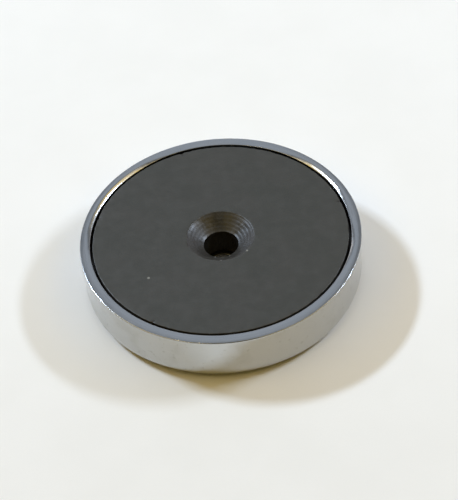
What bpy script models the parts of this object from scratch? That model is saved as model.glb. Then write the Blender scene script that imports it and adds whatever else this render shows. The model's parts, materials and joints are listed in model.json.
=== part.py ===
"""Round pot magnet: a drawn steel cup, a pressed ferrite ring magnet and the bond that holds it in the cup.

It lies on its back with the holding face up. Units are metres, +Z is up, and the origin is the centre
of the cup's underside.
"""

import math

import bpy
from mathutils import Matrix, Vector

MM = 0.001

# Steel cup
CUP_DIAMETER = 67.0 * MM
CUP_HEIGHT = 13.0 * MM
CUP_WALL = 2.4 * MM
CUP_BASE = 2.8 * MM
CUP_TAPER = 0.2 * MM
CUP_HOLE_DIAMETER = 6.6 * MM
CUP_HOLE_EDGE_RADIUS = 0.25 * MM
CUP_BOTTOM_RADIUS = 3.0 * MM
CUP_FLOOR_RADIUS = 0.5 * MM
CUP_RIM_OUTER_RADIUS = 0.25 * MM
CUP_RIM_INNER_RADIUS = 0.2 * MM

# Ferrite ring magnet
MAGNET_SIDE_GAP = 0.65 * MM
MAGNET_RECESS = 0.15 * MM
MAGNET_BORE_DIAMETER = 8.4 * MM
MAGNET_EDGE_RADIUS = 0.15 * MM
CONE_MOUTH_DIAMETER = 16.0 * MM
CONE_DEPTH = 3.0 * MM
CONE_STEPS = 5
CONE_STEP_RELIEF = 0.09 * MM
CONE_MOUTH_RADIUS = 0.2 * MM

# Cured bond
BOND_THICKNESS = 0.3 * MM
BOND_HOLE_SETBACK = 0.6 * MM
BOND_TOP_BELOW_FACE = 3.0 * MM

# Free space between touching pieces
MATING_CLEARANCE = 0.05 * MM

# Smoothness of the turned surfaces
TURN_STEPS = 80
ARC_STEPS = 3
SHARP_ANGLE = math.radians(35)
MERGE_DISTANCE = 0.001 * MM

# What follows from the sizes above
CUP_RADIUS = CUP_DIAMETER / 2
CUP_INNER_RADIUS = CUP_RADIUS - CUP_WALL
MAGNET_RADIUS = CUP_INNER_RADIUS - MAGNET_SIDE_GAP
MAGNET_BORE_RADIUS = MAGNET_BORE_DIAMETER / 2
BOND_UNDERSIDE = CUP_BASE + MATING_CLEARANCE
MAGNET_UNDERSIDE = BOND_UNDERSIDE + BOND_THICKNESS + MATING_CLEARANCE
MAGNET_THICKNESS = CUP_HEIGHT - MAGNET_RECESS - MAGNET_UNDERSIDE


def clear_scene():
    for obj in list(bpy.data.objects):
        bpy.data.objects.remove(obj, do_unlink=True)


def finish(name, colour, metallic, roughness):
    """A plain material with one colour."""
    material = bpy.data.materials.new(name)
    material.use_nodes = True
    shader = material.node_tree.nodes["Principled BSDF"]
    shader.inputs["Base Color"].default_value = (*colour, 1.0)
    shader.inputs["Metallic"].default_value = metallic
    shader.inputs["Roughness"].default_value = roughness
    return material


def arc_at_corner(corner, before, after, radius):
    """The arc that rounds a corner, from the side of the point before it to the side of the point after."""
    to_before = (before - corner).normalized()
    to_after = (after - corner).normalized()
    half_angle = to_before.angle(to_after) / 2
    centre = corner + (to_before + to_after).normalized() * radius / math.sin(half_angle)
    start = corner + to_before * radius / math.tan(half_angle) - centre
    side = 1 if to_before.cross(to_after) < 0 else -1
    sweep = side * (math.pi - 2 * half_angle)
    return [centre + Matrix.Rotation(sweep * step / ARC_STEPS, 2) @ start for step in range(ARC_STEPS + 1)]


def rounded_outline(corners):
    """A closed outline from corners given as radius from the axis, height and rounding."""
    places = [Vector((across, up)) for across, up, _ in corners]
    outline = []
    for index, (_, _, rounding) in enumerate(corners):
        corner = places[index]
        if rounding > 0:
            following = places[(index + 1) % len(places)]
            outline += arc_at_corner(corner, places[index - 1], following, rounding)
        else:
            outline.append(corner)
    return outline


def turned(name, corners, underside, material, parts, parent):
    """A ring turned about Z from an outline that runs down its outer side and up its inner side."""
    outline = rounded_outline(corners)
    mesh = bpy.data.meshes.new(name)
    points = [(across, 0.0, up) for across, up in outline]
    edges = [(index, (index + 1) % len(points)) for index in range(len(points))]
    mesh.from_pydata(points, edges, [])
    mesh.materials.append(material)
    obj = bpy.data.objects.new(name, mesh)
    parts.objects.link(obj)
    obj.parent = parent
    obj.location = (0.0, 0.0, underside)

    screw = obj.modifiers.new("turn", "SCREW")
    screw.axis = "Z"
    screw.steps = TURN_STEPS
    screw.render_steps = TURN_STEPS
    screw.use_merge_vertices = True
    screw.merge_threshold = MERGE_DISTANCE
    with bpy.context.temp_override(object=obj):
        bpy.ops.object.modifier_apply(modifier=screw.name)
    obj.data.shade_smooth()
    obj.data.set_sharp_from_angle(angle=SHARP_ANGLE)
    return obj


def steel_cup(parts, parent):
    """A flat-bottomed cup, drawn with a slight taper, with a screw hole in the middle of its base."""
    hole = CUP_HOLE_DIAMETER / 2
    corners = [
        (CUP_RADIUS, CUP_HEIGHT, CUP_RIM_OUTER_RADIUS),
        (CUP_RADIUS - CUP_TAPER, 0.0, CUP_BOTTOM_RADIUS),
        (hole, 0.0, CUP_HOLE_EDGE_RADIUS),
        (hole, CUP_BASE, CUP_HOLE_EDGE_RADIUS),
        (CUP_INNER_RADIUS, CUP_BASE, CUP_FLOOR_RADIUS),
        (CUP_INNER_RADIUS, CUP_HEIGHT, CUP_RIM_INNER_RADIUS),
    ]
    plating = finish("bright_plating", (0.72, 0.73, 0.74), 1.0, 0.14)
    return turned("steel_cup", corners, 0.0, plating, parts, parent)


def stepped_cone():
    """The cone from the bore up to the mouth, pressed as shallow rings: flat tread, then steep riser."""
    bore = Vector((MAGNET_BORE_RADIUS, MAGNET_THICKNESS - CONE_DEPTH))
    mouth = Vector((CONE_MOUTH_DIAMETER / 2, MAGNET_THICKNESS))
    slope = mouth - bore
    into_magnet = Vector((slope.y, -slope.x)).normalized() * CONE_STEP_RELIEF
    corners = []
    for step in range(CONE_STEPS):
        nose = bore + slope * step / CONE_STEPS
        heel = bore + slope * (step + 0.7) / CONE_STEPS + into_magnet
        corners += [(nose.x, nose.y, 0.0), (heel.x, heel.y, 0.0)]
    return corners + [(mouth.x, mouth.y, CONE_MOUTH_RADIUS)]


def ferrite_ring_magnet(parts, parent):
    """A thick ring with a bore and a stepped countersink in its holding face."""
    corners = [
        (MAGNET_RADIUS, MAGNET_THICKNESS, MAGNET_EDGE_RADIUS),
        (MAGNET_RADIUS, 0.0, MAGNET_EDGE_RADIUS),
        (MAGNET_BORE_RADIUS, 0.0, MAGNET_EDGE_RADIUS),
        *stepped_cone(),
    ]
    ferrite = finish("sintered_ferrite", (0.075, 0.078, 0.075), 0.0, 0.5)
    return turned("ferrite_ring_magnet", corners, MAGNET_UNDERSIDE, ferrite, parts, parent)


def epoxy_bond(parts, parent):
    """One cured body: a thin layer under the magnet and the collar that it was squeezed up into."""
    outer = CUP_INNER_RADIUS - MATING_CLEARANCE
    inner = MAGNET_RADIUS + MATING_CLEARANCE
    hole = MAGNET_BORE_RADIUS + BOND_HOLE_SETBACK
    collar_top = MAGNET_UNDERSIDE + MAGNET_THICKNESS - BOND_TOP_BELOW_FACE - BOND_UNDERSIDE
    corners = [
        (outer, collar_top, 0.0),
        (outer, 0.0, CUP_FLOOR_RADIUS - MATING_CLEARANCE),
        (hole, 0.0, 0.0),
        (hole, BOND_THICKNESS, 0.0),
        (inner, BOND_THICKNESS, 0.0),
        (inner, collar_top, 0.0),
    ]
    epoxy = finish("cured_epoxy", (0.03, 0.028, 0.025), 0.0, 0.35)
    return turned("epoxy_bond", corners, BOND_UNDERSIDE, epoxy, parts, parent)


def main():
    clear_scene()
    parts = bpy.data.collections.new("pot_magnet")
    bpy.context.scene.collection.children.link(parts)
    assembly = bpy.data.objects.new("pot_magnet_origin", None)
    parts.objects.link(assembly)
    steel_cup(parts, assembly)
    ferrite_ring_magnet(parts, assembly)
    epoxy_bond(parts, assembly)


main()
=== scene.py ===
"""Round ferrite pot magnet lying on its back on pale card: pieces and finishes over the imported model."""

import json
import math

import bpy
import bmesh
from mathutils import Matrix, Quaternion, Vector

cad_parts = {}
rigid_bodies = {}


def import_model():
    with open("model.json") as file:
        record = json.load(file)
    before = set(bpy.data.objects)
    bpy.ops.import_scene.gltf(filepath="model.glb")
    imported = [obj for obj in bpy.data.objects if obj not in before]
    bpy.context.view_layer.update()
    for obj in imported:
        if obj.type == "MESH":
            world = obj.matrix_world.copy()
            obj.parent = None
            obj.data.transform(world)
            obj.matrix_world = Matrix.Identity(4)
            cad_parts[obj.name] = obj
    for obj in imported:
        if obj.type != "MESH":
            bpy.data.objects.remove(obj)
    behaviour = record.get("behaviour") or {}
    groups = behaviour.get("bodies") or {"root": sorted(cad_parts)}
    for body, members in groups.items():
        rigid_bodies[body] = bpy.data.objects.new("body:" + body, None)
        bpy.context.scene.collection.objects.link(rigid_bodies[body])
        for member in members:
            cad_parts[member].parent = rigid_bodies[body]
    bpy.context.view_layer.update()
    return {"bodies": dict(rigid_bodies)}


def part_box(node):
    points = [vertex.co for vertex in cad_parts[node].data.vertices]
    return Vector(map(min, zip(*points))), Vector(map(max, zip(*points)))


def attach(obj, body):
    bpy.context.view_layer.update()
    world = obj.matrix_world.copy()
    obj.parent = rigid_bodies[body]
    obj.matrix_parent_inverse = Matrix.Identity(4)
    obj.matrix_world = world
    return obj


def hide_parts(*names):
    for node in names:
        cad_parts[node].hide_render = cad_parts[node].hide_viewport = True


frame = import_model()

MM = 0.001
MICRON = 0.000001

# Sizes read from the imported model
CUP_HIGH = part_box("steel_cup")[1]
MAGNET_LOW, MAGNET_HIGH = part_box("ferrite_ring_magnet")
BOND_LOW, BOND_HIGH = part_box("epoxy_bond")

# Clearances and small sizes that the boxes don't tell, as in the CAD source
MATING_CLEARANCE = 0.05 * MM
CUP_TAPER = 0.2 * MM
CUP_BOTTOM_RADIUS = 3.0 * MM
CUP_WAIST = 0.15 * MM
CUP_RIM_CROWN = 0.05 * MM
CUP_RIM_OUTER_RADIUS = 0.2 * MM
CUP_RIM_INNER_RADIUS = 0.12 * MM
CUP_RIM_INNER_DROP = 0.5 * MM
CUP_HOLE_RADIUS = 3.3 * MM
CUP_HOLE_EDGE_RADIUS = 0.25 * MM
CUP_FLOOR_RADIUS = 0.5 * MM
MAGNET_BORE_RADIUS = 4.2 * MM
MAGNET_EDGE_RADIUS = 0.15 * MM
CONE_MOUTH_RADIUS = 8.0 * MM
CONE_MOUTH_ROUNDING = 0.2 * MM
CONE_DEPTH = 3.0 * MM
CONE_STEPS = 5
BOND_HOLE_SETBACK = 0.6 * MM

# What follows from them
CUP_RADIUS = CUP_HIGH.x
CUP_HEIGHT = CUP_HIGH.z
CUP_BASE = BOND_LOW.z - MATING_CLEARANCE
CUP_INNER_RADIUS = BOND_HIGH.x + MATING_CLEARANCE
MAGNET_RADIUS = MAGNET_HIGH.x
FACE = MAGNET_HIGH.z

CUP_SEGMENTS = 384
CUP_WALL_RINGS = 10
MAGNET_SEGMENTS = 640
BOND_SEGMENTS = 256
RING_TOLERANCE = 2 * MICRON

# Where the inner half of the rim is nearly flat: middle azimuth and reach to each side, in degrees
FLAT_RIM_RANGES = [(84, 42), (4, 17), (190, 22), (-88, 74)]
RIM_PRESSINGS = 6
RIM_PRESSING_STEP = 3
RIM_PRESSING_SHARE = 0.72

# The inner half of the rim as it slopes down to the magnet: distance out from the inside wall, and fall
RIM_SLOPE = [
    (0.82 * MM, 0.03 * MM),
    (0.66 * MM, 0.08 * MM),
    (0.45 * MM, 0.18 * MM),
    (0.25 * MM, 0.29 * MM),
]

# How far along one ring of the countersink each of its points lies: share of the way in, and of the fall
CONE_RING_SHAPE = [(0.27, 0.38), (0.64, 0.70), (1.0, 1.0)]

# Chips along the magnet's outer edge: azimuth in degrees, reach and depth
EDGE_CHIPS = [
    (-125.0, 0.5 * MM, 0.12 * MM),
    (-118.0, 0.4 * MM, 0.08 * MM),
    (-62.0, 0.4 * MM, 0.08 * MM),
    (14.0, 0.5 * MM, 0.1 * MM),
    (38.0, 0.4 * MM, 0.08 * MM),
    (104.0, 0.5 * MM, 0.1 * MM),
    (161.0, 0.4 * MM, 0.1 * MM),
]


# ---------------------------------------------------------------- bench: modelling with the edit tools


def from_degrees(azimuth, elevation):
    """A unit vector: azimuth from +X towards +Y, elevation above the floor."""
    turn = math.radians(azimuth)
    rise = math.radians(elevation)
    return Vector((math.cos(rise) * math.cos(turn), math.cos(rise) * math.sin(turn), math.sin(rise)))


def deselect_all():
    bpy.ops.object.select_all(action="DESELECT")


def edit(obj):
    """Opens one object for editing with nothing selected."""
    deselect_all()
    bpy.context.view_layer.objects.active = obj
    obj.select_set(True)
    bpy.ops.object.mode_set(mode="EDIT")
    bpy.ops.mesh.select_all(action="DESELECT")


def done():
    """Turns the normals of the object being edited out, and leaves edit mode."""
    bpy.ops.mesh.select_all(action="SELECT")
    bpy.ops.mesh.normals_make_consistent(inside=False)
    bpy.ops.mesh.select_all(action="DESELECT")
    bpy.ops.object.mode_set(mode="OBJECT")


def select_mode(kind):
    bpy.ops.mesh.select_mode(type=kind)


def select_ring(obj, radius, height):
    """Selects the edges of the circle with this radius and height, and nothing else."""
    select_mode("EDGE")
    bpy.ops.mesh.select_all(action="DESELECT")
    mesh = bmesh.from_edit_mesh(obj.data)
    for edge in mesh.edges:
        on_ring = all(
            abs(vert.co.xy.length - radius) < RING_TOLERANCE and abs(vert.co.z - height) < RING_TOLERANCE
            for vert in edge.verts
        )
        edge.select_set(on_ring)
    bmesh.update_edit_mesh(obj.data)


def select_cap(obj, height):
    """Selects the one flat face with many sides at this height."""
    select_mode("FACE")
    bpy.ops.mesh.select_all(action="DESELECT")
    mesh = bmesh.from_edit_mesh(obj.data)
    for face in mesh.faces:
        face.select_set(len(face.verts) > 4 and abs(face.calc_center_median().z - height) < RING_TOLERANCE)
    bmesh.update_edit_mesh(obj.data)


def draw_cap(from_place, to_place):
    """Extrudes the selected cap from one (radius, height) to the next."""
    (radius, height), (next_radius, next_height) = from_place, to_place
    bpy.ops.mesh.extrude_region_move(TRANSFORM_OT_translate={"value": (0, 0, next_height - height)})
    if next_radius != radius:
        share = next_radius / radius
        bpy.ops.transform.resize(value=(share, share, 1), center_override=(0, 0, next_height))


def draw_along(places):
    for from_place, to_place in zip(places, places[1:]):
        draw_cap(from_place, to_place)


def round_ring(obj, radius, height, rounding, segments):
    """Rounds the edge along one circle."""
    select_ring(obj, radius, height)
    bpy.ops.mesh.bevel(offset=rounding, segments=segments, profile=0.5, affect="EDGES", clamp_overlap=False)


def open_hole(obj, heights):
    """Removes the two caps at these heights and joins their rims with a wall."""
    for height in heights:
        select_cap(obj, height)
        bpy.ops.mesh.delete(type="ONLY_FACE")
    select_mode("EDGE")
    bpy.ops.mesh.select_all(action="DESELECT")
    bpy.ops.mesh.select_non_manifold(extend=False, use_wire=False, use_boundary=True, use_multi_face=False,
                                     use_non_contiguous=False, use_verts=False)
    bpy.ops.mesh.bridge_edge_loops()


def group_points(obj, name, chosen):
    """Names a group of the points whose (radius, height) the test accepts."""
    edit(obj)
    select_mode("VERT")
    mesh = bmesh.from_edit_mesh(obj.data)
    for vert in mesh.verts:
        vert.select_set(chosen(vert.co.xy.length, vert.co.z))
    bmesh.update_edit_mesh(obj.data)
    bpy.ops.object.vertex_group_assign_new()
    obj.vertex_groups[-1].name = name
    bpy.ops.mesh.select_all(action="DESELECT")
    bpy.ops.object.mode_set(mode="OBJECT")


def unevenness(obj, group, size, depth, level, contrast=1.0, direction="NORMAL"):
    """Moves a group of points by soft noise: level 0.5 goes both ways, level 0 only the way of the depth."""
    cloud = bpy.data.textures.new(group, "CLOUDS")
    cloud.noise_scale = size
    cloud.noise_depth = 2
    cloud.contrast = contrast
    cloud.intensity = 1.0 if level else 0.55
    uneven = obj.modifiers.new(group, "DISPLACE")
    uneven.texture = cloud
    uneven.texture_coords = "LOCAL"
    uneven.direction = direction
    uneven.mid_level = level
    uneven.strength = depth
    uneven.vertex_group = group
    deselect_all()
    bpy.context.view_layer.objects.active = obj
    obj.select_set(True)
    bpy.ops.object.modifier_apply(modifier=uneven.name)
    obj.vertex_groups.remove(obj.vertex_groups[group])


def chip(obj, place, reach, push):
    """Breaks a small piece off an edge: pushes the points within reach of a place, most at its middle."""
    edit(obj)
    select_mode("VERT")
    mesh = bmesh.from_edit_mesh(obj.data)
    nearest = min(mesh.verts, key=lambda vert: (vert.co - place).length)
    nearest.select_set(True)
    bmesh.update_edit_mesh(obj.data)
    bpy.ops.transform.translate(
        value=push,
        use_proportional_edit=True,
        use_proportional_connected=True,
        proportional_edit_falloff="ROOT",
        proportional_size=reach,
    )
    bpy.ops.mesh.select_all(action="DESELECT")
    bpy.ops.object.mode_set(mode="OBJECT")


def new_drum(name, segments, radius, bottom, top):
    """A solid drum on the Z axis, open for editing."""
    deselect_all()
    bpy.ops.mesh.primitive_cylinder_add(
        vertices=segments, radius=radius, depth=top - bottom, location=(0, 0, (top + bottom) / 2)
    )
    drum = bpy.context.active_object
    drum.name = name
    drum.data.name = name
    bpy.ops.object.transform_apply(location=True, rotation=True, scale=True)
    edit(drum)
    return drum


def shade(obj, angle):
    """Smooth shading with flats kept flat."""
    deselect_all()
    bpy.context.view_layer.objects.active = obj
    obj.select_set(True)
    bpy.ops.object.shade_smooth_by_angle(angle=math.radians(angle))
    weighted = obj.modifiers.new("flat faces stay flat", "WEIGHTED_NORMAL")
    weighted.keep_sharp = True
    weighted.weight = 90
    bpy.ops.object.modifier_apply(modifier=weighted.name)


def stand_for(obj, node):
    """Puts the finished piece in the place of its CAD node."""
    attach(obj, next(iter(frame["bodies"])))
    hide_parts(node)


# ---------------------------------------------------------------- steel cup


def wall_places():
    """The outside of the wall from the bottom corner up to the rim, with a slight taper and waist."""
    low = CUP_BOTTOM_RADIUS + 0.5 * MM
    high = CUP_HEIGHT - CUP_RIM_OUTER_RADIUS - 0.2 * MM
    places = []
    for ring in range(CUP_WALL_RINGS + 1):
        share = ring / CUP_WALL_RINGS
        height = low + (high - low) * share
        taper = CUP_TAPER * (1 - height / CUP_HEIGHT)
        waist = CUP_WAIST * (1 - (2 * share - 1) ** 2)
        places.append((CUP_RADIUS - taper - waist, height))
    return places


def press_rim_flat(cup, azimuth, spread):
    """Presses the inner half of the rim nearly flat, most in the middle of a range of azimuths."""
    for step in range(RIM_PRESSINGS):
        edit(cup)
        select_mode("VERT")
        mesh = bmesh.from_edit_mesh(cup.data)
        middle = from_degrees(azimuth, 0)
        for vert in mesh.verts:
            on_rim = vert.co.z > CUP_HEIGHT - 0.8 * MM and vert.co.xy.length < CUP_INNER_RADIUS + 0.9 * MM
            across = Vector((vert.co.x, vert.co.y, 0))
            reach = math.radians(spread - RIM_PRESSING_STEP * step)
            vert.select_set(on_rim and across.angle(middle) < reach)
        bmesh.update_edit_mesh(cup.data)
        bpy.ops.transform.resize(value=(1, 1, RIM_PRESSING_SHARE), center_override=(0, 0, CUP_HEIGHT))
        bpy.ops.mesh.select_all(action="DESELECT")
        bpy.ops.object.mode_set(mode="OBJECT")


def drawn_cup():
    """A drum drawn up along the wall, over the rim and down the inside, with a hole through the base."""
    wall = wall_places()
    foot = CUP_RADIUS - CUP_TAPER
    shoulder = CUP_HEIGHT - CUP_RIM_CROWN
    crown = (CUP_RADIUS + CUP_INNER_RADIUS) / 2
    inner_shoulder = CUP_HEIGHT - CUP_RIM_INNER_DROP
    cup = new_drum("cup_shell", CUP_SEGMENTS, foot, 0.0, wall[0][1])
    select_cap(cup, wall[0][1])
    share = wall[0][0] / foot
    bpy.ops.transform.resize(value=(share, share, 1), center_override=(0, 0, 0))
    draw_along([
        *wall,
        (CUP_RADIUS, shoulder),
        (crown + 0.4 * MM, CUP_HEIGHT),
        (crown - 0.05 * MM, CUP_HEIGHT),
        *[(CUP_INNER_RADIUS + out, CUP_HEIGHT - fall) for out, fall in RIM_SLOPE],
        (CUP_INNER_RADIUS, inner_shoulder),
        (CUP_INNER_RADIUS, CUP_BASE),
        (CUP_HOLE_RADIUS, CUP_BASE),
    ])
    select_cap(cup, 0.0)
    draw_cap((foot, 0.0), (CUP_HOLE_RADIUS, 0.0))
    open_hole(cup, [0.0, CUP_BASE])

    round_ring(cup, foot, 0.0, CUP_BOTTOM_RADIUS, 12)
    round_ring(cup, CUP_RADIUS, shoulder, CUP_RIM_OUTER_RADIUS, 7)
    round_ring(cup, CUP_INNER_RADIUS, inner_shoulder, CUP_RIM_INNER_RADIUS, 4)
    round_ring(cup, CUP_INNER_RADIUS, CUP_BASE, CUP_FLOOR_RADIUS, 4)
    round_ring(cup, CUP_HOLE_RADIUS, CUP_BASE, CUP_HOLE_EDGE_RADIUS, 4)
    round_ring(cup, CUP_HOLE_RADIUS, 0.0, CUP_HOLE_EDGE_RADIUS, 4)
    done()

    for azimuth, spread in FLAT_RIM_RANGES:
        press_rim_flat(cup, azimuth, spread)
    group_points(cup, "inner edge", lambda radius, height:
                 height > CUP_HEIGHT - 1.0 * MM and radius < CUP_INNER_RADIUS + 0.75 * MM)
    unevenness(cup, "inner edge", 3.5 * MM, 0.07 * MM, 0.5)
    group_points(cup, "outer edge", lambda radius, height:
                 height > CUP_HEIGHT - 0.5 * MM and radius > CUP_RADIUS - 0.3 * MM)
    unevenness(cup, "outer edge", 1.5 * MM, -0.04 * MM, 0.0, 1.2)
    shade(cup, 40)
    stand_for(cup, "steel_cup")
    return cup


# ---------------------------------------------------------------- ferrite ring


# Pale grains pressed into the magnet's face, and painted glints on the bore's front edge: x, y and size
PALE_GRAINS_AND_PAINTED_GLINTS = [
    (-17.6 * MM, -11.2 * MM, 0.42 * MM),
    (5.9 * MM, -5.7 * MM, 0.34 * MM),
    (-0.4 * MM, -7.8 * MM, 0.26 * MM),
    # The last three are painted glints on the front edge of the bore
    (-1.7 * MM, -4.1 * MM, 0.28 * MM),
    (1.7 * MM, -4.2 * MM, 0.24 * MM),
    (0.2 * MM, -4.9 * MM, 0.18 * MM),
]


def cone_places():
    """The countersink from its mouth down to the bore, as shallow pressed rings."""
    fall = CONE_DEPTH / CONE_STEPS
    inwards = (CONE_MOUTH_RADIUS - MAGNET_BORE_RADIUS) / CONE_STEPS
    places = [(CONE_MOUTH_RADIUS, FACE)]
    for step in range(CONE_STEPS):
        radius = CONE_MOUTH_RADIUS - inwards * step
        height = FACE - fall * step
        for share_in, share_down in CONE_RING_SHAPE:
            places.append((radius - share_in * inwards, height - share_down * fall))
    return places


def pressed_magnet():
    """A drum with a stepped countersink, a bore and broken edges."""
    magnet = new_drum("ferrite_ring", MAGNET_SEGMENTS, MAGNET_RADIUS, MAGNET_LOW.z, FACE)
    select_cap(magnet, FACE)
    draw_along([
        (MAGNET_RADIUS, FACE),
        (MAGNET_RADIUS - 0.35 * MM, FACE),
        (MAGNET_RADIUS - 1.4 * MM, FACE),
        (CONE_MOUTH_RADIUS + 1.2 * MM, FACE),
        (CONE_MOUTH_RADIUS + 0.6 * MM, FACE),
        *cone_places(),
    ])
    select_cap(magnet, MAGNET_LOW.z)
    draw_cap((MAGNET_RADIUS, MAGNET_LOW.z), (MAGNET_BORE_RADIUS, MAGNET_LOW.z))
    open_hole(magnet, [FACE - CONE_DEPTH, MAGNET_LOW.z])
    round_ring(magnet, MAGNET_RADIUS, FACE, MAGNET_EDGE_RADIUS, 3)
    round_ring(magnet, MAGNET_RADIUS, MAGNET_LOW.z, MAGNET_EDGE_RADIUS, 2)
    round_ring(magnet, MAGNET_BORE_RADIUS, MAGNET_LOW.z, MAGNET_EDGE_RADIUS, 2)
    round_ring(magnet, CONE_MOUTH_RADIUS, FACE, CONE_MOUTH_ROUNDING, 3)
    done()

    group_points(magnet, "cone rings", lambda radius, height:
                 radius < CONE_MOUTH_RADIUS - 0.4 * MM and height > FACE - CONE_DEPTH - 0.1 * MM
                 and height < FACE - 0.1 * MM)
    unevenness(magnet, "cone rings", 1.6 * MM, 0.12 * MM, 0.5)
    group_points(magnet, "cone mouth", lambda radius, height:
                 radius < CONE_MOUTH_RADIUS + 0.3 * MM and height > FACE - 0.3 * MM)
    unevenness(magnet, "cone mouth", 1.5 * MM, -0.09 * MM, 0.0, 1.6, "Z")
    group_points(magnet, "outer edge", lambda radius, height:
                 radius > MAGNET_RADIUS - 0.2 * MM and height > FACE - 0.3 * MM)
    unevenness(magnet, "outer edge", 1.1 * MM, -0.1 * MM, 0.0, 2.0)
    for azimuth, reach, depth in EDGE_CHIPS:
        outwards = from_degrees(azimuth, 0)
        place = outwards * MAGNET_RADIUS + Vector((0, 0, FACE))
        push = outwards * -depth - Vector((0, 0, depth))
        chip(magnet, place, reach, push)
    shade(magnet, 30)
    stand_for(magnet, "ferrite_ring_magnet")
    return magnet


# ---------------------------------------------------------------- bond


def cured_bond():
    """The layer under the magnet and the collar round it."""
    outer = BOND_HIGH.x
    inner = MAGNET_RADIUS + MATING_CLEARANCE
    hole = MAGNET_BORE_RADIUS + BOND_HOLE_SETBACK
    layer_top = MAGNET_LOW.z - MATING_CLEARANCE
    bond = new_drum("bond_layer", BOND_SEGMENTS, outer, BOND_LOW.z, BOND_HIGH.z)
    select_cap(bond, BOND_HIGH.z)
    draw_along([(outer, BOND_HIGH.z), (inner, BOND_HIGH.z), (inner, layer_top), (hole, layer_top)])
    select_cap(bond, BOND_LOW.z)
    draw_cap((outer, BOND_LOW.z), (hole, BOND_LOW.z))
    open_hole(bond, [layer_top, BOND_LOW.z])
    round_ring(bond, outer, BOND_LOW.z, CUP_FLOOR_RADIUS - MATING_CLEARANCE, 4)
    done()
    shade(bond, 40)
    stand_for(bond, "epoxy_bond")
    return bond


# ---------------------------------------------------------------- finishes


class Value:
    """One output socket, usable in Python expressions: each operator adds a Math node."""

    def __init__(self, finish, socket):
        self.finish = finish
        self.socket = socket

    def math(self, operation, *operands):
        made = self.finish.node("ShaderNodeMath", {"operation": operation})
        node = made.socket.node
        for index, operand in enumerate(operands):
            self.finish.feed(node.inputs[index], operand)
        return made

    def __add__(self, other):
        return self.math("ADD", self, other)

    def __radd__(self, other):
        return self.math("ADD", other, self)

    def __sub__(self, other):
        return self.math("SUBTRACT", self, other)

    def __rsub__(self, other):
        return self.math("SUBTRACT", other, self)

    def __mul__(self, other):
        return self.math("MULTIPLY", self, other)

    def __rmul__(self, other):
        return self.math("MULTIPLY", other, self)

    def __truediv__(self, other):
        return self.math("DIVIDE", self, other)

    def __rtruediv__(self, other):
        return self.math("DIVIDE", other, self)

    def __pow__(self, other):
        return self.math("POWER", self, other)

    def __abs__(self):
        return self.math("ABSOLUTE", self)

    def at_most(self, other):
        return self.math("MINIMUM", self, other)

    def ramp(self, low, high, at_low=0.0, at_high=1.0):
        """Goes smoothly from at_low, where the value is low, to at_high, where it is high."""
        return self.finish.node(
            "ShaderNodeMapRange",
            {"interpolation_type": "SMOOTHSTEP"},
            {"Value": self, "From Min": low, "From Max": high, "To Min": at_low, "To Max": at_high},
            "Result",
        )


class Finish:
    """A node tree being filled in, for a material or for the world."""

    def __init__(self, tree):
        self.tree = tree

    def node(self, kind, settings=None, sockets=None, output=0):
        made = self.tree.nodes.new(kind)
        for name, setting in (settings or {}).items():
            setattr(made, name, setting)
        for name, value in (sockets or {}).items():
            self.feed(made.inputs[name], value)
        return Value(self, made.outputs[output])

    def feed(self, socket, value):
        if isinstance(value, Value):
            self.tree.links.new(value.socket, socket)
        elif isinstance(value, tuple) and len(value) == 3 and socket.type == "RGBA":
            socket.default_value = (*value, 1.0)
        else:
            socket.default_value = value

    def blend(self, share, low, high):
        """A colour between two colours."""
        made = self.tree.nodes.new("ShaderNodeMix")
        made.data_type = "RGBA"
        for index, value in ((0, share), (6, low), (7, high)):
            self.feed(made.inputs[index], value)
        return Value(self, made.outputs[2])

    def grain(self, place, size, detail=2.0, roughness=0.5):
        """Soft noise whose blobs are about this size, from 0 to 1."""
        return self.node(
            "ShaderNodeTexNoise",
            None,
            {"Vector": place, "Scale": 1 / size, "Detail": detail, "Roughness": roughness},
            "Fac",
        )

    def bump(self, height, depth, onto=None):
        """Relief of this depth in metres from a height that goes from 0 to 1."""
        sockets = {"Height": height, "Strength": 1.0, "Distance": depth}
        if onto:
            sockets["Normal"] = onto
        return self.node("ShaderNodeBump", None, sockets, "Normal")


class Coat(Finish):
    """A finish for a piece: one Principled shader."""

    def __init__(self, name, **constants):
        self.material = bpy.data.materials.new(name)
        self.material.use_nodes = True
        super().__init__(self.material.node_tree)
        self.shader = self.tree.nodes["Principled BSDF"]
        for socket, value in constants.items():
            self.set(socket.replace("_", " "), value)
        self.place = self.node("ShaderNodeTexCoord", None, None, "Object")

    def set(self, socket, value):
        self.feed(self.shader.inputs[socket], value)

    def across(self):
        """(x, y, z) of the place on the piece, each as a value."""
        split = self.tree.nodes.new("ShaderNodeSeparateXYZ")
        self.feed(split.inputs[0], self.place)
        return [Value(self, split.outputs[axis]) for axis in range(3)]

    def vector(self, x, y, z):
        return self.node("ShaderNodeCombineXYZ", None, {"X": x, "Y": y, "Z": z})

    def radius(self):
        """How far the place is from the Z axis."""
        x, y, z = self.across()
        return (x ** 2 + y ** 2) ** 0.5

    def around(self, along, aside):
        """A vector for noise drawn out round the Z axis: this long at the cup's wall, and this fine."""
        x, y, z = self.across()
        radius = self.radius()
        turns = CUP_RADIUS / along
        return self.vector(x / radius * turns, y / radius * turns, (radius + z) / aside)

    def streaks(self, azimuth, along, aside):
        """A vector for noise drawn out in straight lines at this azimuth."""
        x, y, z = self.across()
        turn = math.radians(azimuth)
        forward = x * math.cos(turn) + y * math.sin(turn)
        sideways = y * math.cos(turn) - x * math.sin(turn)
        return self.vector(forward / along, sideways / aside, z / along)

    def give(self, obj):
        obj.data.materials.clear()
        obj.data.materials.append(self.material)


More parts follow.
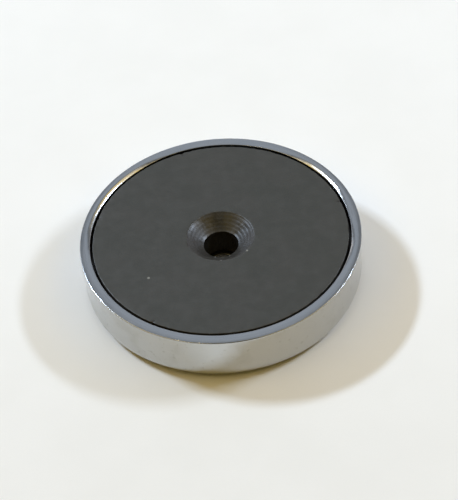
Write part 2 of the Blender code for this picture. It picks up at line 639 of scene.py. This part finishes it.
def bright_plating():
    """Nickel and chrome over drawn steel: polished wall, ground rim, rougher inside with painted shade,
    painted shade round the foot, scuffed underside.
    """
    coat = Coat("bright_plating", Metallic=1.0)
    z = coat.across()[2]
    radius = coat.radius()
    rim = z.ramp(CUP_HEIGHT - 0.12 * MM, CUP_HEIGHT - 0.06 * MM)
    # Inside the cup the plating is rougher, and its colour is also darkened as painted shade in the recess.
    inside = (
        radius.ramp(CUP_INNER_RADIUS + 0.05 * MM, CUP_INNER_RADIUS + 0.3 * MM, 1.0, 0.0)
        * z.ramp(CUP_HEIGHT - 1.2 * MM, CUP_HEIGHT - 0.5 * MM, 1.0, 0.0)
        * z.ramp(CUP_BASE - 0.6 * MM, CUP_BASE - 0.1 * MM)
    )
    underside = z.ramp(0.1 * MM, 0.6 * MM, 1.0, 0.0)
    # Painted shade: the plating is darkened towards the bottom corner, standing in for the reflected contact
    # shadow.
    foot = z.ramp(0.8 * MM, 2.5 * MM, 1.0, 0.0)

    smudge = coat.grain(coat.place, 7 * MM, 3.0, 0.55).ramp(0.5, 0.72)
    cloudy = coat.grain(coat.place, 2.2 * MM, 4.0, 0.6)
    pits = coat.grain(coat.place, 0.35 * MM, 1.0, 0.4).ramp(0.76, 0.84)
    spots = coat.grain(coat.place, 1.3 * MM, 2.0, 0.5).ramp(0.62, 0.76) * (1 - rim)
    drawn = coat.grain(coat.around(0.35 * MM, 9 * MM), 1.0, 2.0, 0.5)
    ground = coat.grain(coat.around(7 * MM, 0.11 * MM), 1.0, 3.0, 0.6)
    waves = coat.grain(coat.around(20 * MM, 0.35 * MM), 1.0, 1.0, 0.4)
    scuffs = coat.grain(coat.streaks(35.0, 5 * MM, 0.12 * MM), 1.0, 3.0, 0.6)

    bright = coat.blend(smudge, (0.560, 0.568, 0.566), (0.490, 0.492, 0.478))
    bright = coat.blend(cloudy.ramp(0.35, 0.75, 0.0, 0.35), bright, (0.520, 0.530, 0.540))
    bright = coat.blend(spots * 0.5, bright, (0.380, 0.375, 0.350))
    ground_bright = coat.blend(ground.ramp(0.3, 0.7), (0.500, 0.530, 0.560), (0.590, 0.610, 0.630))
    # Painted shade round the foot, darkest at the bottom.
    bright = coat.blend(foot * 0.9, bright, (0.170, 0.155, 0.125))
    colour = coat.blend(rim, bright, ground_bright)
    colour = coat.blend(underside * scuffs.ramp(0.45, 0.7, 0.1, 0.6), colour, (0.440, 0.440, 0.430))
    # Painted shade: dark colour inside the cup and on the floor round the hole.
    dull_with_painted_shade = coat.blend(cloudy.ramp(0.4, 0.6), (0.075, 0.071, 0.060), (0.130, 0.126, 0.111))
    colour = coat.blend(inside, colour, dull_with_painted_shade)
    coat.set("Base Color", coat.blend(pits * 0.6, colour, (0.250, 0.230, 0.200)))

    polished = 0.045 + smudge * 0.05 + spots * 0.08 + cloudy.ramp(0.4, 0.8, 0.0, 0.03) + pits * 0.2
    edges = z.ramp(CUP_HEIGHT - 0.6 * MM, CUP_HEIGHT - 0.4 * MM)
    roughness = polished + edges * (0.13 + ground.ramp(0.3, 0.7, 0.0, 0.05))
    roughness = roughness + underside * scuffs.ramp(0.4, 0.7, 0.05, 0.2) + inside * 0.35
    coat.set("Roughness", roughness.at_most(0.6))

    relief = coat.bump(drawn * (1 - rim), 0.35 * MICRON)
    relief = coat.bump(waves * rim, 14 * MICRON, relief)
    relief = coat.bump(ground * (rim + underside * 0.2), 3 * MICRON, relief)
    relief = coat.bump(scuffs * underside, 1.5 * MICRON, relief)
    coat.set("Normal", coat.bump(1 - pits, 4 * MICRON, relief))
    return coat


def sintered_ferrite():
    """Hard ferrite: a ground grey face, and brown skin from the kiln where it was only pressed, darkened
    deep in the bore as painted shade.
    """
    coat = Coat("sintered_ferrite", Metallic=0.0, IOR=1.55)
    x, y, z = coat.across()
    radius = coat.radius()
    ground = z.ramp(FACE - 0.05 * MM, FACE - 0.015 * MM)
    cone = radius.ramp(CONE_MOUTH_RADIUS - 0.2 * MM, CONE_MOUTH_RADIUS + 0.1 * MM, 1.0, 0.0)
    # Painted shade: the skin is darkened deep in the bore.
    bore_painted_shade = z.ramp(FACE - CONE_DEPTH - 0.6 * MM, FACE - CONE_DEPTH + 0.2 * MM, 1.0, 0.0) * cone

    mottle = coat.grain(coat.place, 8 * MM, 4.0, 0.55)
    patches = coat.grain(coat.place, 2.4 * MM, 3.0, 0.6)
    grains = coat.grain(coat.place, 0.22 * MM, 3.0, 0.65)
    pores = coat.grain(coat.place, 0.5 * MM, 2.0, 0.5).ramp(0.7, 0.8)
    wheel = coat.grain(coat.streaks(14.0, 16 * MM, 0.16 * MM), 1.0, 4.0, 0.65)
    broad_wheel = coat.grain(coat.streaks(-9.0, 22 * MM, 1.3 * MM), 1.0, 2.0, 0.5)
    rings = coat.grain(coat.around(3 * MM, 0.14 * MM), 1.0, 2.0, 0.5)

    face = coat.blend(mottle.ramp(0.3, 0.7), (0.0328, 0.0346, 0.0300), (0.0382, 0.0384, 0.0340))
    face = coat.blend(patches.ramp(0.45, 0.75, 0.0, 0.3), face, (0.0440, 0.0460, 0.0425))
    face = coat.blend(wheel.ramp(0.35, 0.75, 0.0, 0.16), face, (0.0600, 0.0620, 0.0590))
    face = coat.blend(grains.ramp(0.55, 0.8, 0.0, 0.3), face, (0.0620, 0.0640, 0.0600))
    face = coat.blend(pores * 0.7, face, (0.0150, 0.0150, 0.0140))
    skin = coat.blend(patches.ramp(0.35, 0.65), (0.0148, 0.0138, 0.0110), (0.0228, 0.0216, 0.0182))
    skin = coat.blend(rings.ramp(0.4, 0.7, 0.0, 0.25), skin, (0.0420, 0.0370, 0.0300))
    # Painted shade deep in the bore.
    skin = coat.blend(bore_painted_shade * 0.8, skin, (0.0085, 0.0075, 0.0055))
    colour = coat.blend(ground, skin, face)
    # Pale grains, and painted glints at the bore's front edge
    for place_x, place_y, size in PALE_GRAINS_AND_PAINTED_GLINTS:
        away = ((x - place_x) ** 2 + (y - place_y) ** 2) ** 0.5
        colour = coat.blend(away.ramp(size * 0.5, size, 0.6, 0.0), colour, (0.300, 0.300, 0.270))
    coat.set("Base Color", colour)

    face_gloss = 0.50 - wheel.ramp(0.35, 0.7, 0.0, 0.08) + patches.ramp(0.3, 0.7, -0.03, 0.05)
    skin_gloss = 0.38 + patches.ramp(0.35, 0.7, 0.0, 0.14)
    coat.set("Roughness", ground * face_gloss + (1 - ground) * skin_gloss)

    relief = coat.bump(wheel * ground, 2.5 * MICRON)
    relief = coat.bump(broad_wheel * ground, 4 * MICRON, relief)
    relief = coat.bump(grains, 5 * MICRON, relief)
    relief = coat.bump(1 - pores, 15 * MICRON, relief)
    coat.set("Normal", coat.bump(rings * (1 - ground), 14 * MICRON, relief))
    return coat


def cured_epoxy():
    """Black filled epoxy: glossy where it set against air, with small bubbles."""
    coat = Coat("cured_epoxy", Metallic=0.0, IOR=1.54)
    streaky = coat.grain(coat.around(6 * MM, 1.2 * MM), 1.0, 3.0, 0.6)
    bubbles = coat.grain(coat.place, 0.6 * MM, 1.0, 0.3).ramp(0.66, 0.74)
    filler = coat.grain(coat.place, 0.15 * MM, 2.0, 0.5)
    colour = coat.blend(streaky.ramp(0.3, 0.7), (0.0110, 0.0095, 0.0080), (0.0230, 0.0180, 0.0130))
    coat.set("Base Color", coat.blend(bubbles, colour, (0.0050, 0.0045, 0.0040)))
    coat.set("Roughness", 0.22 + streaky.ramp(0.3, 0.7, 0.0, 0.15) + filler.ramp(0.3, 0.7, 0.0, 0.08))
    relief = coat.bump(streaky, 60 * MICRON)
    relief = coat.bump(filler, 3 * MICRON, relief)
    coat.set("Normal", coat.bump(1 - bubbles, 60 * MICRON, relief))
    return coat


def pale_card():
    """Smooth white card with a faint tooth."""
    coat = Coat("pale_card", Metallic=0.0, Roughness=0.85)
    tone = coat.grain(coat.place, 18 * MM, 3.0, 0.5)
    tooth = coat.grain(coat.place, 0.5 * MM, 3.0, 0.6)
    colour = coat.blend(tone.ramp(0.3, 0.7), (0.832, 0.832, 0.815), (0.850, 0.850, 0.835))
    coat.set("Base Color", coat.blend(tooth.ramp(0.4, 0.8, 0.0, 0.5), colour, (0.825, 0.825, 0.808)))
    coat.set("Normal", coat.bump(tooth, 10 * MICRON))
    return coat


# ---------------------------------------------------------------- studio


FLOOR_SIZE = 6.0
CAMERA_LENS = 126.0
CAMERA_SENSOR = 36.0
CAMERA_AZIMUTH = -90
CAMERA_ELEVATION = 46.24
CAMERA_DISTANCE = 0.4147
CAMERA_AIM = Vector((1.7 * MM, -5.1 * MM, 0))
CAMERA_ROLL = -5.65


def soft_box(name, azimuth, elevation, distance, width, height, watts, colour):
    """An area light in this direction from the object, facing it."""
    data = bpy.data.lights.new(name, "AREA")
    data.shape = "RECTANGLE"
    data.size = width
    data.size_y = height
    data.energy = watts
    data.color = colour
    box = bpy.data.objects.new(name, data)
    bpy.context.scene.collection.objects.link(box)
    direction = from_degrees(azimuth, elevation)
    box.location = direction * distance
    box.rotation_mode = "QUATERNION"
    box.rotation_quaternion = direction.to_track_quat("Z", "Y")


def lay_floor():
    deselect_all()
    bpy.ops.mesh.primitive_grid_add(x_subdivisions=8, y_subdivisions=8, size=FLOOR_SIZE, location=(0, 0, 0))
    floor = bpy.context.active_object
    floor.name = "floor"
    pale_card().give(floor)


def hang_lights():
    soft_box("left_box", 146.5, 42.0, 0.9, 0.16, 0.055, 6.1, (0.65, 0.79, 0.99))
    soft_box("right_box", 15.0, 40.0, 0.65, 0.17, 0.045, 2.15, (0.67, 0.79, 0.98))
    soft_box("warm_lamp", 155.0, 77.0, 0.9, 0.05, 0.05, 0.12, (1.0, 0.80, 0.45))


def light_dome():
    """The room all round: dim and cool, pale low down behind the object, and warm overhead."""
    world = bpy.data.worlds.new("dome")
    world.use_nodes = True
    bpy.context.scene.world = world
    dome = Finish(world.node_tree)
    background = world.node_tree.nodes["Background"]
    direction = dome.node("ShaderNodeTexCoord", None, None, "Generated")
    split = dome.tree.nodes.new("ShaderNodeSeparateXYZ")
    dome.feed(split.inputs[0], direction)
    aside, ahead, upwards = [Value(dome, split.outputs[axis]) for axis in range(3)]
    low = upwards.ramp(0.25, 0.45, 1.0, 0.0)
    sky = dome.blend(abs(aside).ramp(0.03, 0.22), (0.430, 0.465, 0.515), (0.190, 0.200, 0.215))
    sky = dome.blend(ahead.ramp(0.2, 0.6), (0.060, 0.050, 0.030), sky)
    sky = dome.blend(ahead.ramp(0.2, 0.7) * low, sky, (1.000, 0.970, 1.000))
    to_the_sides = abs(aside).ramp(0.12, 0.45, 0.05, 1.0)
    overhead = upwards.ramp(0.4, 0.75) * to_the_sides * ahead.ramp(0.2, 0.6, 1.0, 0.0)
    warm = dome.blend(upwards.ramp(0.78, 0.92), (1.280, 0.905, 0.220), (0.860, 0.775, 0.650))
    dome.feed(background.inputs["Color"], dome.blend(overhead, sky, warm))


def place_camera():
    camera_data = bpy.data.cameras.new("camera")
    camera_data.lens = CAMERA_LENS
    camera_data.sensor_width = CAMERA_SENSOR
    camera_data.clip_start = 0.01
    camera_data.clip_end = 20.0
    camera = bpy.data.objects.new("camera", camera_data)
    bpy.context.scene.collection.objects.link(camera)
    rim_centre = Vector((0, 0, CUP_HEIGHT))
    camera.location = rim_centre + from_degrees(CAMERA_AZIMUTH, CAMERA_ELEVATION) * CAMERA_DISTANCE
    level = (rim_centre + CAMERA_AIM - camera.location).to_track_quat("-Z", "Y")
    camera.rotation_mode = "QUATERNION"
    camera.rotation_quaternion = level @ Quaternion((0, 0, 1), math.radians(CAMERA_ROLL))
    bpy.context.scene.camera = camera
    bpy.context.scene.view_settings.view_transform = "Standard"


bright_plating().give(drawn_cup())
sintered_ferrite().give(pressed_magnet())
cured_epoxy().give(cured_bond())
lay_floor()
hang_lights()
light_dome()
place_camera()
